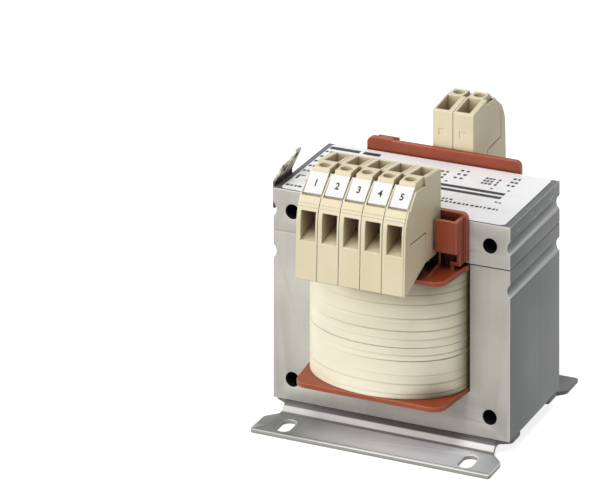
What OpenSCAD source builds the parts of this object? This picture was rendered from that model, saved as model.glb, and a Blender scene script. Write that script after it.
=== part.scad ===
// Single-phase transformer for a control panel: an EI core on two folded feet, a moulded
// bobbin with a taped winding, five clamp terminals in front and two behind.
// z = 0 is the mounting plane, -Y is the front and +X the right-hand side. Millimetres.

/* [Core] */
// Width of the laminations
core_w = 84; // [82:0.5:90]
// Depth of the lamination stack, front to back
stack_d = 45; // [38:0.5:56]
// Width of an outer limb, height of a yoke and half the centre limb
limb_w = 14; // [13:0.25:14.5]
// Height of a window
window_h = 42; // [40:0.5:50]
// Diameter of the four corner holes
core_hole_d = 4.8; // [3.4:0.1:6]
// Height of a clamping groove in the side
groove_h = 4.5; // [3:0.1:6]
// Depth of a clamping groove
groove_depth = 1.1; // [0.5:0.1:1.6]
// Distance from the seam to the middle of a groove
groove_out = 7; // [5:0.1:9]

/* [Feet] */
// Thickness of the sheet
foot_t = 1.5; // [1:0.1:2]
// Height of the core above the mounting plane
foot_h = 4.8; // [4.2:0.1:8]
// Reach of a foot beyond the core
foot_out = 18.1; // [16:0.1:24]
// Reach of a foot under the core
foot_under = 10; // [6:0.5:14]
// Width of the sloping web
foot_neck_w = 75; // [70:0.5:79]
// Length of the flare from the web to the full width
foot_flare = 4.8; // [3:0.1:6]
// Radius inside the bends
foot_bend_r = 0.8; // [0.4:0.1:1.2]
// Width of a mounting slot
slot_w = 4.8; // [4:0.1:6]
// Length of a mounting slot, end to end
slot_l = 9.3; // [7:0.1:10]
// Distance between the two slots of a foot
slot_pitch = 64; // [60:0.5:68]
// Distance from the core to the middle of a slot
slot_out = 11.25; // [10:0.05:12]

/* [Bobbin] */
// Clearance between the bobbin and the core
fit_gap = 0.3; // [0.1:0.05:0.5]
// Wall of the former round the centre limb
former_t = 1.2; // [0.8:0.1:1.6]
// Thickness of the flanges
flange_t = 1.5; // [1.2:0.1:2.5]
// Reach of the lower flange beyond the core
lower_flange_out = 19.3; // [19.2:0.1:24]
// Reach of the upper flange beyond the core
upper_flange_out = 18.6; // [17:0.1:24]
// Corner radius of the flanges
flange_r = 4.5; // [2:0.1:8]
// How much a flange narrows on each side, from the core to its edge
flange_taper = 1.9; // [0:0.1:3]
// Width of the upstand walls that carry the terminals
upstand_w = 55.8; // [50:0.1:57]
// Thickness of the upstand walls
upstand_t = 1.8; // [1.4:0.1:2.5]
// Rise of the front wall above the core
front_rise = 3; // [1:0.1:6]
// Rise of the rear wall above the core
rear_rise = 4; // [1:0.1:6]
// Corner radius of the upstand walls
upstand_r = 2; // [0.5:0.1:4]
// Rise of the hump on the rear wall
hump_h = 0.5; // [0.2:0.1:1]
// Width of a wire pocket
pocket_w = 7.5; // [6:0.1:8]
// Depth of a wire pocket in front of the wall
pocket_d = 6.8; // [5:0.1:8]
// Depth of the pocket's foot, below its front plate
pocket_foot_d = 3.8; // [3:0.1:5]
// Height of a wire pocket's front plate
pocket_h = 10.4; // [8:0.1:12]
// Wall of a wire pocket
pocket_t = 1.1; // [0.8:0.1:1.5]
// Thickness of the gusset below a wire pocket
gusset_t = 0.7; // [0.5:0.1:1.1]
// Reach of the gusset's foot beyond the pocket's
gusset_l = 11.4; // [6:0.1:12]
// Height of the opening where the winding's ends come through the wall
notch_h = 1.3; // [0.8:0.1:2.4]

/* [Winding] */
// Gap between two layers of the winding
layer_gap = 0.1; // [0.05:0.05:0.2]
// Thickness of the primary beside the former, shared with the secondary to fill the window
primary_t = 4.9; // [4:0.1:6]
// Thickness of the secondary beside the primary, shared in the same way
secondary_t = 5.3; // [4:0.1:6]
// Reach of the primary beyond the core
primary_out = 9; // [8:0.1:11]
// Thickness of the insulation between the windings
insulation_t = 0.6; // [0.3:0.1:1]
// Reach of the taped winding beyond the core
winding_out = 19.2; // [15:0.1:19.2]
// Inset of the tape from the edge of the flanges in the window
wrap_inset = 0.3; // [0.1:0.1:0.8]
// Thickness of the tape wrap
wrap_t = 0.7; // [0.5:0.1:1]
// Step where one turn of tape laps over the next
tape_lap = 0.12; // [0.05:0.01:0.2]
// Number of turns of tape that show
tape_turns = 8; // [4:1:12]

/* [Terminals] */
// Pitch of the terminals
term_pitch = 7.5; // [7.2:0.1:7.8]
// Gap between two terminals
joint_gap = 0.2; // [0.05:0.05:0.3]
// Depth of a terminal, wall to the foot of its front face
term_d = 30; // [28:0.1:33]
// Height of the top at the wall, above the foot of the front face
term_back_h = 31.6; // [30:0.1:34]
// Height of the flat front face
term_front_h = 18.4; // [16:0.1:20]
// Lean of the front face, from its foot to the shoulder
front_lean = 0.75; // [0:0.05:1.5]
// Radius of the shoulder between the front face and the marker
shoulder_r = 12.4; // [11:0.1:14]
// Depth of the grip grooves across the shoulder
grip_depth = 0.2; // [0.1:0.05:0.3]
// Height of the underside at the wall
term_tail_h = 5; // [3:0.1:7]
// Drop of the front faces below the seam of the core
term_drop = 1.2; // [0:0.1:2]
// Left edge of the front row
front_row_x = -19.3; // [-20:0.1:-18.5]
// Right edge of the rear row
rear_row_x = 10.3; // [5:0.1:17]
// Thickness of the end plate
end_plate_t = 0.55; // [0.4:0.05:0.7]
// Width of a wire entry
entry_w = 5.2; // [4.2:0.1:5.6]
// Height of a wire entry
entry_h = 9.6; // [8:0.1:10]
// Height of the wire entry's sill above the foot of the front face
entry_sill = 12.75; // [12:0.05:14]
// Width of the square hole in the top
top_hole_w = 4.8; // [4.2:0.1:5.2]
// Width of the raised screw block
block_w = 5.6; // [5:0.1:5.9]
// Depth of the raised screw block
block_d = 7.4; // [7:0.1:9]
// Diameter of the screwdriver hole
driver_hole_d = 4; // [3.8:0.1:4.4]
// Width of a marker
marker_w = 6.3; // [5:0.1:6.4]
// Thickness of a marker
marker_t = 0.8; // [0.6:0.1:1]
// How far a marker stands out of its slope
marker_proud = 0.4; // [0.2:0.1:0.5]
// Thickness of the rim between two markers
rim_t = 0.5; // [0.3:0.1:0.6]
// Width of the parting grooves in the side walls
line_w = 0.4; // [0.2:0.05:0.6]

/* [Clamps] */
// Diameter of the clamp screw
screw_d = 3; // [2.5:0.1:3.2]
// Diameter of the clamp screw's head
screw_head_d = 3.6; // [3.3:0.1:3.7]
// Wall of the clamp cage
cage_t = 0.8; // [0.6:0.1:0.9]
// Length of the clamp cage along the wire
cage_l = 6; // [5:0.1:6.4]
// Width of the current bar
bar_w = 3.4; // [2.8:0.1:3.6]
// Thickness of the current bar
bar_t = 1; // [0.8:0.1:1.2]
// Diameter of the leads from the winding
lead_d = 1; // [0.6:0.1:1.4]

/* [Label and earth tab] */
// Distance of the rating label's side edges from the core's
label_inset_x = 2.3; // [0.5:0.1:8]
// Distance of the rating label's front and rear edges from the core's
label_inset_y = 0.5; // [0.2:0.1:4]
// Thickness of the rating label
label_t = 0.2; // [0.1:0.05:0.3]
// Thickness of the earth tab
tab_t = 0.8; // [0.6:0.1:1]
// Width of one blade of the earth tab
blade_w = 6.3; // [4.8:0.1:6.8]
// Length of the rear blade
rear_blade_l = 9; // [6:0.1:10]
// Length of the front blade
front_blade_l = 7; // [5:0.1:9]
// Lean of the rear blade over the core, in degrees
rear_blade_lean = 26; // [0:1:45]
// Lean of the front blade over the core, in degrees
front_blade_lean = 30; // [0:1:45]
// Gap between the two blades
blade_gap = 1.2; // [0.8:0.1:2]
// Diameter of the hole in a blade
blade_hole_d = 1.8; // [1.2:0.1:2.4]

/* [Hidden] */
$fn = 48;

// Core
core_x = core_w / 2;
core_y = stack_d / 2;
core_z = foot_h;
window_w = core_x - 2 * limb_w;
floor_z = core_z + limb_w;
seam_z = floor_z + window_h;
top_z = seam_z + limb_w;
hole_x = core_x - limb_w / 2;
groove_r = (groove_h * groove_h / 4 + groove_depth * groove_depth) / (2 * groove_depth);

// Feet, in distance out from the core and height above the mounting plane
web_out = 0.2;
web_run = foot_h - foot_t;
web_miter = foot_t * tan(22.5);

// Bobbin
former_x = limb_w + fit_gap + former_t;
former_y = core_y + fit_gap + former_t;
flange_x = limb_w + window_w - fit_gap;
upstand_x = upstand_w / 2;
wall_y = core_y + fit_gap + upstand_t;
ceiling_z = seam_z - 0.2;
pocket_x = front_row_x + 5 * term_pitch + end_plate_t + 0.75;
pocket_top_z = top_z + 2.3;
ledge_x = pocket_x + 4.2;
ledge_t = 1.1;
notch_z = ceiling_z + notch_h;

// Winding, as half widths in the window and reaches beyond the core
wind_z = floor_z + flange_t + layer_gap;
wind_h = ceiling_z - flange_t - layer_gap - wind_z;
wrap_x = flange_x - wrap_inset;
secondary_x = wrap_x - wrap_t - layer_gap;
copper_t = secondary_x - former_x - 3 * layer_gap - insulation_t;
primary_x = former_x + layer_gap + copper_t * primary_t / (primary_t + secondary_t);
insulation_x = primary_x + layer_gap + insulation_t;
insulation_out = primary_out + layer_gap + insulation_t;
secondary_out = winding_out - wrap_t - layer_gap;

// Terminals, in distance out from the wall and height above the foot of the front face
term_z = seam_z - term_drop;
entry_x = (term_pitch - entry_w) / 2 + 0.4;
block_x = term_pitch - block_w - 0.4;
block_h = term_back_h + 1.4;
block_out = 19.2;
block_back = block_out - block_d;
screw_x = block_x + block_w / 2 - 0.15;
screw_out = block_out - 3.5;
shelf_out = block_out - 6.9;
shelf_h = block_h - 2.9;
marker_x = rim_t + 0.3;
marker_top = [block_out, term_back_h];
marker_end = [term_d - 4.8, term_back_h - 4.9];
marker_dir = unit(marker_end - marker_top);
marker_up = [-marker_dir[1], marker_dir[0]];
marker_l = norm(marker_end - marker_top);
shoulder = [term_d - front_lean - shoulder_r, term_front_h];
rim_top = [block_out - 0.3, term_back_h + 0.2];
rim_angle = 44;
grip_angles = [24, 29];
entry_back = screw_out + cage_l / 2 + 0.4;
entry_rise = 2.4;
line_far = [term_d - 4.8, term_front_h + 6.9];
line_near = [term_d - 17.4, term_tail_h + 3];
line_h = entry_sill + 2.7;
line_rise = 0.6;
mark_x = 3.1;
mark_h = term_back_h - 8.2;
mark_w = 2.1;

// Clamps
bar_h = entry_sill + entry_h - 0.3;
bar_x = entry_x + (entry_w - bar_w) / 2;
tag_out = 5;
tag_h = term_tail_h - 2.4;
cage_w = bar_w + 0.4 + 2 * cage_t;
cage_x = bar_x - 0.2 - cage_t;
cage_top_t = 1.8;
cage_bottom = entry_sill + entry_rise - 0.6;
cage_top = bar_h + 0.7 + cage_top_t;
pocket_gap = 0.15;
head_h = 1.8;
head_z = cage_top + 1.5;
lead_x = bar_x + bar_w / 2;
lead_y = wall_y + tag_out + lead_d / 2;

// Earth tab
tab_top_z = top_z + 1.5;
tab_front_y = core_y - 1.5;
tab_h = 8.9;

function unit(v) = v / norm(v);

function turned(v, a) = [v[0] * cos(a) - v[1] * sin(a), v[0] * sin(a) + v[1] * cos(a)];

// Outline with rounded corners, where each corner is [x, y, radius]
function rounded(corners, steps = 6) = [
    for (i = [0 : len(corners) - 1])
        let (
            n = len(corners),
            p = [corners[i][0], corners[i][1]],
            before = corners[(i + n - 1) % n],
            after = corners[(i + 1) % n],
            a = unit([before[0], before[1]] - p),
            b = unit([after[0], after[1]] - p),
            r = corners[i][2],
            half = acos(a * b) / 2,
            centre = p + unit(a + b) * r / sin(half),
            spoke = p + a * r / tan(half) - centre,
            sweep = (180 - 2 * half) * sign(a[1] * b[0] - a[0] * b[1])
        )
        each r == 0 ? [p] : [for (k = [0 : steps]) centre + turned(spoke, sweep * k / steps)]
];

// Plan of one layer of the winding: straight in the windows, a half ellipse in front and behind
function turn_plan(half_w, out, steps = 40) = [
    for (end = [1, -1])
        for (k = [0 : steps])
            let (a = 180 * k / steps + (end > 0 ? 0 : 180))
            [half_w * cos(a), end * core_y + out * sin(a)]
];

// Stands a drawing of distance out and height on a front-facing wall, w wide from x
module across(x, w) {
    translate([x, 0, 0])
        rotate([90, 0, 90])
            linear_extrude(w)
                mirror([1, 0])
                    children();
}

// Extrudes a front view through the depth d about y = 0
module through(d) {
    rotate([90, 0, 0])
        linear_extrude(d, center = true)
            children();
}

// Rectangle with four true corner arcs, centred
module round_rect(w, d, r) {
    square([w - 2 * r, d], center = true);
    square([w, d - 2 * r], center = true);
    for (x = [-1, 1], y = [-1, 1])
        translate([x * (w / 2 - r), y * (d / 2 - r)])
            circle(r);
}

module side_groove(z) {
    for (s = [-1, 1])
        translate([s * (core_x + groove_r - groove_depth), z])
            circle(groove_r, $fn = 96);
}

module corner_holes(z) {
    for (s = [-1, 1])
        translate([s * hole_x, z])
            circle(d = core_hole_d);
}

module core_e_stack() {
    color("silver")
        through(stack_d)
            difference() {
                translate([-core_x, core_z])
                    square([core_w, limb_w + window_h]);
                for (s = [-1, 1])
                    translate([s * (limb_w + window_w / 2) - window_w / 2, floor_z])
                        square([window_w, window_h + 1]);
                corner_holes(core_z + limb_w / 2);
                side_groove(seam_z - groove_out);
            }
}

module core_i_stack() {
    color("silver")
        through(stack_d)
            difference() {
                translate([-core_x, seam_z])
                    square([core_w, limb_w]);
                corner_holes(seam_z + limb_w / 2);
                side_groove(seam_z + groove_out);
            }
}

// Folded from one sheet: the side view of the folds, cut to the plan of the blank
module foot() {
    side = rounded([
        [-foot_under, foot_h, 0],
        [-foot_under, foot_h - foot_t, 0],
        [web_out - web_miter, foot_h - foot_t, foot_bend_r],
        [web_out - web_miter + web_run, 0, foot_bend_r + foot_t],
        [foot_out, 0, 0],
        [foot_out, foot_t, 0],
        [web_out + web_run, foot_t, foot_bend_r],
        [web_out, foot_h, foot_bend_r + foot_t]
    ]);
    flare = web_out + web_run - 0.8;
    right = [
        [core_x, -foot_under, 1],
        [core_x, -foot_flare / 2, 2],
        [foot_neck_w / 2, 0, 1.5],
        [foot_neck_w / 2, flare, 1],
        [core_x, flare + foot_flare, 3],
        [core_x, foot_out, 0.8]
    ];
    left = [for (i = [len(right) - 1 : -1 : 0]) [-right[i][0], right[i][1], right[i][2]]];
    difference() {
        intersection() {
            across(-core_x, core_w)
                polygon(side);
            linear_extrude(foot_h)
                mirror([0, 1])
                    polygon(rounded(concat(right, left)));
        }
        for (s = [-1, 1])
            translate([s * slot_pitch / 2, -slot_out, -1])
                linear_extrude(foot_t + 2)
                    round_rect(slot_w, slot_l, slot_w / 2 - 0.001);
    }
}

module front_foot() {
    color("gainsboro")
        translate([0, -core_y, 0])
            foot();
}

module rear_foot() {
    color("gainsboro")
        mirror([0, 1, 0])
            translate([0, -core_y, 0])
                foot();
}

// Plan of a flange: straight in the windows, narrowing to the rounded corners beyond the core
module flange(out) {
    edge_x = flange_x - flange_taper;
    edge_y = core_y + out;
    linear_extrude(flange_t)
        difference() {
            polygon(rounded([
                [flange_x, core_y, 0], [edge_x, edge_y, flange_r],
                [-edge_x, edge_y, flange_r], [-flange_x, core_y, 0],
                [-flange_x, -core_y, 0], [-edge_x, -edge_y, flange_r],
                [edge_x, -edge_y, flange_r], [flange_x, -core_y, 0]
            ]));
            square([2 * (limb_w + fit_gap), stack_d + 2 * fit_gap], center = true);
        }
}

// Wall in front of the upper yoke, drawn from the flange to its rounded top
module upstand(rise, hump = 0) {
    base_z = ceiling_z - flange_t;
    translate([0, -wall_y + upstand_t / 2, 0])
        through(upstand_t)
            polygon(rounded([
                [-upstand_x, base_z, 0],
                [upstand_x, base_z, 0],
                [upstand_x, top_z + rise, upstand_r],
                [upstand_x - 2.2, top_z + rise + hump, 0],
                [pocket_x, top_z + rise + hump, 0],
                [pocket_x - 1, top_z + rise, 0],
                [-upstand_x, top_z + rise, upstand_r]
            ]));
}

// Open loop on the wall that leads the winding's ends, with a ledge and a gusset below it
module wire_pocket() {
    plate_z = pocket_top_z - pocket_h;
    side_x = pocket_x + pocket_w - pocket_t;
    translate([0, -wall_y, 0]) {
        across(pocket_x, pocket_w)
            polygon([
                [pocket_d - pocket_t, plate_z],
                [pocket_d, plate_z],
                [pocket_d, pocket_top_z],
                [pocket_d - pocket_t, pocket_top_z]
            ]);
        across(side_x, pocket_t)
            polygon([
                [-0.5, notch_z],
                [pocket_foot_d, notch_z],
                [pocket_foot_d, plate_z],
                [pocket_d, plate_z],
                [pocket_d, pocket_top_z],
                [-0.5, pocket_top_z - 0.2]
            ]);
        across(pocket_x, gusset_t)
            polygon([
                [-0.5, ceiling_z - 0.5],
                [pocket_foot_d + gusset_l, ceiling_z - 0.5],
                [pocket_foot_d + gusset_l, ceiling_z],
                [pocket_foot_d, notch_z],
                [pocket_foot_d, plate_z],
                [pocket_d, plate_z],
                [pocket_d, plate_z + 2],
                [-0.5, plate_z + 2]
            ]);
        across(ledge_x, side_x - ledge_x + pocket_t / 2)
            polygon([
                [-0.5, notch_z],
                [pocket_foot_d, notch_z],
                [pocket_foot_d, notch_z + ledge_t],
                [-0.5, notch_z + ledge_t]
            ]);
        across(ledge_x, ledge_t)
            polygon([
                [-0.5, ceiling_z - 0.5],
                [pocket_foot_d, ceiling_z - 0.5],
                [pocket_foot_d, notch_z + ledge_t / 2],
                [-0.5, notch_z + ledge_t / 2]
            ]);
    }
}

// Opening at the foot of the wall where the winding's ends come through
module lead_notch() {
    x = ledge_x + ledge_t;
    translate([x, -wall_y - 0.1, ceiling_z])
        cube([upstand_x - x + 1, upstand_t + 0.2, notch_h]);
}

module lead_holes(count) {
    for (i = [0 : count - 1])
        translate([lead_x + i * term_pitch, -lead_y, ceiling_z - flange_t - 1])
            cylinder(d = lead_d + 0.6, h = flange_t + 2);
}

module bobbin() {
    color("sienna")
        difference() {
            union() {
                translate([0, 0, floor_z])
                    flange(lower_flange_out);
                translate([0, 0, ceiling_z - flange_t])
                    flange(upper_flange_out);
                translate([0, 0, floor_z])
                    linear_extrude(ceiling_z - floor_z)
                        difference() {
                            square([2 * former_x, 2 * former_y], center = true);
                            square([2 * (limb_w + fit_gap), stack_d + 2 * fit_gap], center = true);
                        }
                upstand(front_rise);
                wire_pocket();
                rotate(180) {
                    upstand(rear_rise, hump_h);
                    wire_pocket();
                }
            }
            lead_notch();
            translate([front_row_x, 0, 0])
                lead_holes(5);
            rotate(180) {
                lead_notch();
                translate([-rear_row_x, 0, 0])
                    lead_holes(2);
            }
        }
}

module primary_winding() {
    color("peru")
        translate([0, 0, wind_z])
            linear_extrude(wind_h)
                difference() {
                    polygon(turn_plan(primary_x, primary_out));
                    square([2 * (former_x + layer_gap), 2 * (former_y + layer_gap)], center = true);
                }
}

module interlayer_insulation() {
    color("khaki")
        translate([0, 0, wind_z])
            linear_extrude(wind_h)
                difference() {
                    polygon(turn_plan(insulation_x, insulation_out));
                    polygon(turn_plan(primary_x + layer_gap, primary_out + layer_gap));
                }
}

module secondary_winding() {
    color("chocolate")
        translate([0, 0, wind_z])
            linear_extrude(wind_h)
                difference() {
                    polygon(turn_plan(secondary_x, secondary_out));
                    polygon(turn_plan(insulation_x + layer_gap, insulation_out + layer_gap));
                }
}

// A sleeve of tape, on which every second turn lies over the edges of its neighbours
module outer_wrap() {
    turn_h = wind_h / tape_turns;
    color("ivory")
        translate([0, 0, wind_z])
            difference() {
                union() {
                    linear_extrude(wind_h)
                        polygon(turn_plan(wrap_x - tape_lap, winding_out - tape_lap));
                    for (i = [0 : 2 : tape_turns - 1])
                        translate([0, 0, i * turn_h])
                            linear_extrude(turn_h)
                                polygon(turn_plan(wrap_x, winding_out));
                }
                translate([0, 0, -1])
                    linear_extrude(wind_h + 2)
                        polygon(turn_plan(wrap_x - wrap_t, winding_out - wrap_t));
            }
}

module leads(count) {
    for (i = [0 : count - 1])
        translate([lead_x + i * term_pitch, -lead_y, wind_z + wind_h])
            cylinder(d = lead_d, h = term_z + tag_h + 1.5 - wind_z - wind_h);
}

module front_leads() {
    color("peru")
        translate([front_row_x, 0, 0])
            leads(5);
}

module rear_leads() {
    color("peru")
        rotate(180)
            translate([-rear_row_x, 0, 0])
                leads(2);
}

module rating_label() {
    color("white")
        translate([0, 0, top_z])
            linear_extrude(label_t)
                round_rect(core_w - 2 * label_inset_x, stack_d - 2 * label_inset_y, 2);
}

// Flat blade with a nicked tip and a hole, leaning in over the core
module blade(y, l, lean) {
    translate([-core_x - tab_t, y, tab_top_z])
        rotate([0, lean, 0])
            rotate([90, 0, 90])
                linear_extrude(tab_t)
                    difference() {
                        polygon([
                            [0, 0], [blade_w, 0], [blade_w, l - 1.5],
                            [blade_w - 1, l], [1, l], [0, l - 1.5]
                        ]);
                        translate([blade_w / 2, l - 2.4])
                            circle(d = blade_hole_d);
                    }
}

module earth_tab() {
    color("lightsteelblue")
        union() {
            translate([-core_x - tab_t, -tab_front_y, tab_top_z - tab_h])
                cube([tab_t, 2 * blade_w + blade_gap, tab_h]);
            blade(-tab_front_y, front_blade_l, front_blade_lean);
            blade(-tab_front_y + blade_w + blade_gap, rear_blade_l, rear_blade_lean);
        }
}

// Points of the shoulder from one angle to another, each [x, y, 0]
function shoulder_arc(angles) = [
    for (a = angles)
        let (r = shoulder_r - (len(search(a, grip_angles)) > 0 ? grip_depth : 0))
        [shoulder[0] + r * cos(a), shoulder[1] + r * sin(a), 0]
];

// Side view of a terminal without its screw block and rim
function term_side() = rounded(concat(
    [
        [0, term_back_h, 0.4],
        [0, term_tail_h, 0],
        [line_near[0] + 0.2, term_tail_h + 0.4, 2],
        [term_d, 0, 0.5]
    ],
    shoulder_arc([0, 6, 12, 18, 23.2, 24, 24.8, 28.2, 29, 29.8, 34, 40]),
    [
        [marker_end[0], marker_end[1] - 0.3, 0],
        [block_out + 1.1, shelf_h + 0.6, 0],
        [shelf_out, shelf_h, 0],
        [shelf_out, block_h, 0]
    ]
));

// Raised block over the clamp screw
function block_side() = [
    [block_back, shelf_h - 3],
    [block_out, shelf_h - 3],
    [block_out, marker_top[1]],
    [block_out - 0.6, block_h],
    [block_back, block_h]
];

// Thin rim on the closed side, a little higher than the shelf and the marker
function rim_side() = concat(
    [[shelf_out, shelf_h - 2], [shelf_out, shelf_h + 0.9], [rim_top[0] - 0.4, shelf_h + 0.9], rim_top],
    [for (p = shoulder_arc([rim_angle, 38, 32, 26, 20])) [p[0], p[1]]],
    [marker_end - [2, 5]]
);

// Funnel from the front face to the clamp, with a sill that rises inwards
function entry_side() = [
    [term_d + 1, entry_sill],
    [term_d, entry_sill],
    [entry_back, entry_sill + entry_rise],
    [entry_back, entry_sill + entry_h],
    [term_d + 1, entry_sill + entry_h]
];

// Strip along the marker's slope, from depth low to depth high above it
function slope_strip(low, high) = [
    marker_top + marker_up * low,
    marker_end + marker_up * low,
    marker_end + marker_up * high,
    marker_top + marker_up * high
];

// Moulded parting groove in the closed side wall
module side_line() {
    polygon([
        line_far - [line_w, 0], line_far,
        [line_far[0], line_h + line_rise], [line_near[0] + line_w, line_h],
        line_near + [line_w, 0], line_near,
        [line_near[0], line_h + line_w], [line_far[0] - line_w, line_h + line_rise + line_w]
    ]);
}

module housing() {
    color("wheat")
        difference() {
            union() {
                across(joint_gap / 2, term_pitch - joint_gap)
                    polygon(term_side());
                across(joint_gap / 2, rim_t)
                    polygon(rim_side());
                across(block_x, block_w)
                    polygon(block_side());
            }
            across(entry_x, entry_w)
                polygon(entry_side());
            across(block_x + 0.4, top_hole_w)
                polygon([
                    [1.2, bar_h + 0.1], [block_back, bar_h + 0.1],
                    [block_back, block_h + 1], [1.2, block_h + 1]
                ]);
            translate([screw_x, -screw_out, cage_top])
                cylinder(d = driver_hole_d, h = block_h);
            across(cage_x - pocket_gap, cage_w + 2 * pocket_gap)
                polygon([
                    [screw_out - cage_l / 2 - pocket_gap, cage_bottom - pocket_gap],
                    [entry_back + 0.01, cage_bottom - pocket_gap],
                    [entry_back + 0.01, cage_top + pocket_gap],
                    [screw_out - cage_l / 2 - pocket_gap, cage_top + pocket_gap]
                ]);
            across(bar_x - 0.1, bar_w + 0.2)
                polygon([
                    [tag_out - bar_t - 0.1, -1], [tag_out + 0.1, -1],
                    [tag_out + 0.1, bar_h - bar_t - 0.1], [screw_out, bar_h - bar_t - 0.1],
                    [screw_out, bar_h + 0.1], [tag_out - bar_t - 0.1, bar_h + 0.1]
                ]);
            across(marker_x - 0.05, marker_w + 0.1)
                polygon(slope_strip(marker_proud - marker_t - 0.05, 2));
            across(marker_x + 0.6, marker_w - 0.7)
                polygon([
                    marker_end + [-1.6, -1.5], marker_end + [0.7, -1.5],
                    marker_end + [0.7, 1], marker_end + [-0.1, 1],
                    marker_end + [-0.1, -0.75], marker_end + [-1.6, -0.75]
                ]);
            across(0, joint_gap / 2 + rim_t)
                side_line();
            across(mark_x, mark_w)
                polygon([
                    [-1, mark_h], [0.15, mark_h],
                    [0.15, mark_h + mark_w], [-1, mark_h + mark_w]
                ]);
        }
}

module marker() {
    color("white")
        across(marker_x, marker_w)
            polygon(slope_strip(marker_proud - marker_t, marker_proud));
}

module cage() {
    color("slategray")
        translate([cage_x, -screw_out, 0])
            difference() {
                translate([0, -cage_l / 2, cage_bottom])
                    cube([cage_w, cage_l, cage_top - cage_bottom]);
                translate([cage_t, -cage_l / 2 - 1, cage_bottom + cage_t])
                    cube([cage_w - 2 * cage_t, cage_l + 2, cage_top - cage_top_t - cage_bottom - cage_t]);
                translate([screw_x - cage_x, 0, cage_top - cage_top_t - 1])
                    cylinder(d = screw_d + 0.1, h = cage_top_t + 2);
            }
}

module clamp_screw() {
    color("gray")
        translate([screw_x, -screw_out, 0])
            difference() {
                union() {
                    translate([0, 0, bar_h])
                        cylinder(d = screw_d, h = head_z - bar_h);
                    translate([0, 0, head_z])
                        cylinder(d = screw_head_d, h = head_h);
                }
                translate([-screw_head_d, -0.35, head_z + head_h - 1])
                    cube([2 * screw_head_d, 0.7, 2]);
            }
}

module current_bar() {
    color("goldenrod")
        across(bar_x, bar_w)
            polygon([
                [tag_out - bar_t, tag_h], [tag_out, tag_h],
                [tag_out, bar_h - bar_t], [screw_out + cage_l / 2, bar_h - bar_t],
                [screw_out + cage_l / 2, bar_h], [tag_out - bar_t, bar_h]
            ]);
}

// Places terminal 1 to 5 along the front wall and 6 and 7 along the rear wall
module at_terminal(n) {
    if (n <= 5)
        translate([front_row_x + (n - 1) * term_pitch, -wall_y, term_z])
            children();
    else
        rotate(180)
            translate([-rear_row_x + (n - 6) * term_pitch, -wall_y, term_z])
                children();
}

module end_plate() {
    color("wheat")
        translate([front_row_x + 5 * term_pitch, -wall_y, term_z])
            difference() {
                across(0, end_plate_t)
                    polygon(term_side());
                across(-1, end_plate_t + 2)
                    polygon([
                        [line_far[0], line_h + line_w], [line_far[0], line_h],
                        [line_near[0], line_h - line_rise], [line_near[0], line_near[1]],
                        [line_near[0] - 0.75 * line_w, line_near[1]],
                        [line_near[0] - 0.75 * line_w, line_h - line_rise + line_w]
                    ]);
            }
}

module terminal(n) {
    at_terminal(n)
        housing();
}

core_e_stack();
core_i_stack();
front_foot();
rear_foot();
bobbin();
primary_winding();
interlayer_insulation();
secondary_winding();
outer_wrap();
front_leads();
rear_leads();
rating_label();
earth_tab();
end_plate();
terminal(1);  // terminal_1
terminal(2);  // terminal_2
terminal(3);  // terminal_3
terminal(4);  // terminal_4
terminal(5);  // terminal_5
terminal(6);  // terminal_6
terminal(7);  // terminal_7
at_terminal(1) marker();  // marker_1
at_terminal(2) marker();  // marker_2
at_terminal(3) marker();  // marker_3
at_terminal(4) marker();  // marker_4
at_terminal(5) marker();  // marker_5
at_terminal(6) marker();  // marker_6
at_terminal(7) marker();  // marker_7
at_terminal(1) cage();  // cage_1
at_terminal(2) cage();  // cage_2
at_terminal(3) cage();  // cage_3
at_terminal(4) cage();  // cage_4
at_terminal(5) cage();  // cage_5
at_terminal(6) cage();  // cage_6
at_terminal(7) cage();  // cage_7
at_terminal(1) clamp_screw();  // clamp_screw_1
at_terminal(2) clamp_screw();  // clamp_screw_2
at_terminal(3) clamp_screw();  // clamp_screw_3
at_terminal(4) clamp_screw();  // clamp_screw_4
at_terminal(5) clamp_screw();  // clamp_screw_5
at_terminal(6) clamp_screw();  // clamp_screw_6
at_terminal(7) clamp_screw();  // clamp_screw_7
at_terminal(1) current_bar();  // current_bar_1
at_terminal(2) current_bar();  // current_bar_2
at_terminal(3) current_bar();  // current_bar_3
at_terminal(4) current_bar();  // current_bar_4
at_terminal(5) current_bar();  // current_bar_5
at_terminal(6) current_bar();  // current_bar_6
at_terminal(7) current_bar();  // current_bar_7
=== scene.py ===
"""Looks of a single-phase control transformer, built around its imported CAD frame."""

import math
import random

import bmesh
import bpy
from mathutils import Matrix, Vector


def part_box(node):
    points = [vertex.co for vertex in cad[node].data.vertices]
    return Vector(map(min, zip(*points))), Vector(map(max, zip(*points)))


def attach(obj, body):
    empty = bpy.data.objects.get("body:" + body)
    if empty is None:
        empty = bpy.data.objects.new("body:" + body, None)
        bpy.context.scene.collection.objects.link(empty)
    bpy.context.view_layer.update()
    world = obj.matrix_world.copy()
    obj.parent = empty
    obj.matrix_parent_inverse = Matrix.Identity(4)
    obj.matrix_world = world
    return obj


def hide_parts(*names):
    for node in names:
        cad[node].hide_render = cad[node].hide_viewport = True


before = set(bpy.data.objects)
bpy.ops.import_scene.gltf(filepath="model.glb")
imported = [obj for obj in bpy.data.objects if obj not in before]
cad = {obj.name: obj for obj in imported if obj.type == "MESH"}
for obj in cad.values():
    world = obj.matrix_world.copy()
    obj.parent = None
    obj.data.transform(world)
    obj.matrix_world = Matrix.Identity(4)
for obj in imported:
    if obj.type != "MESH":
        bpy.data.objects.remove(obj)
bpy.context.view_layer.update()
random.seed(84)


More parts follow.
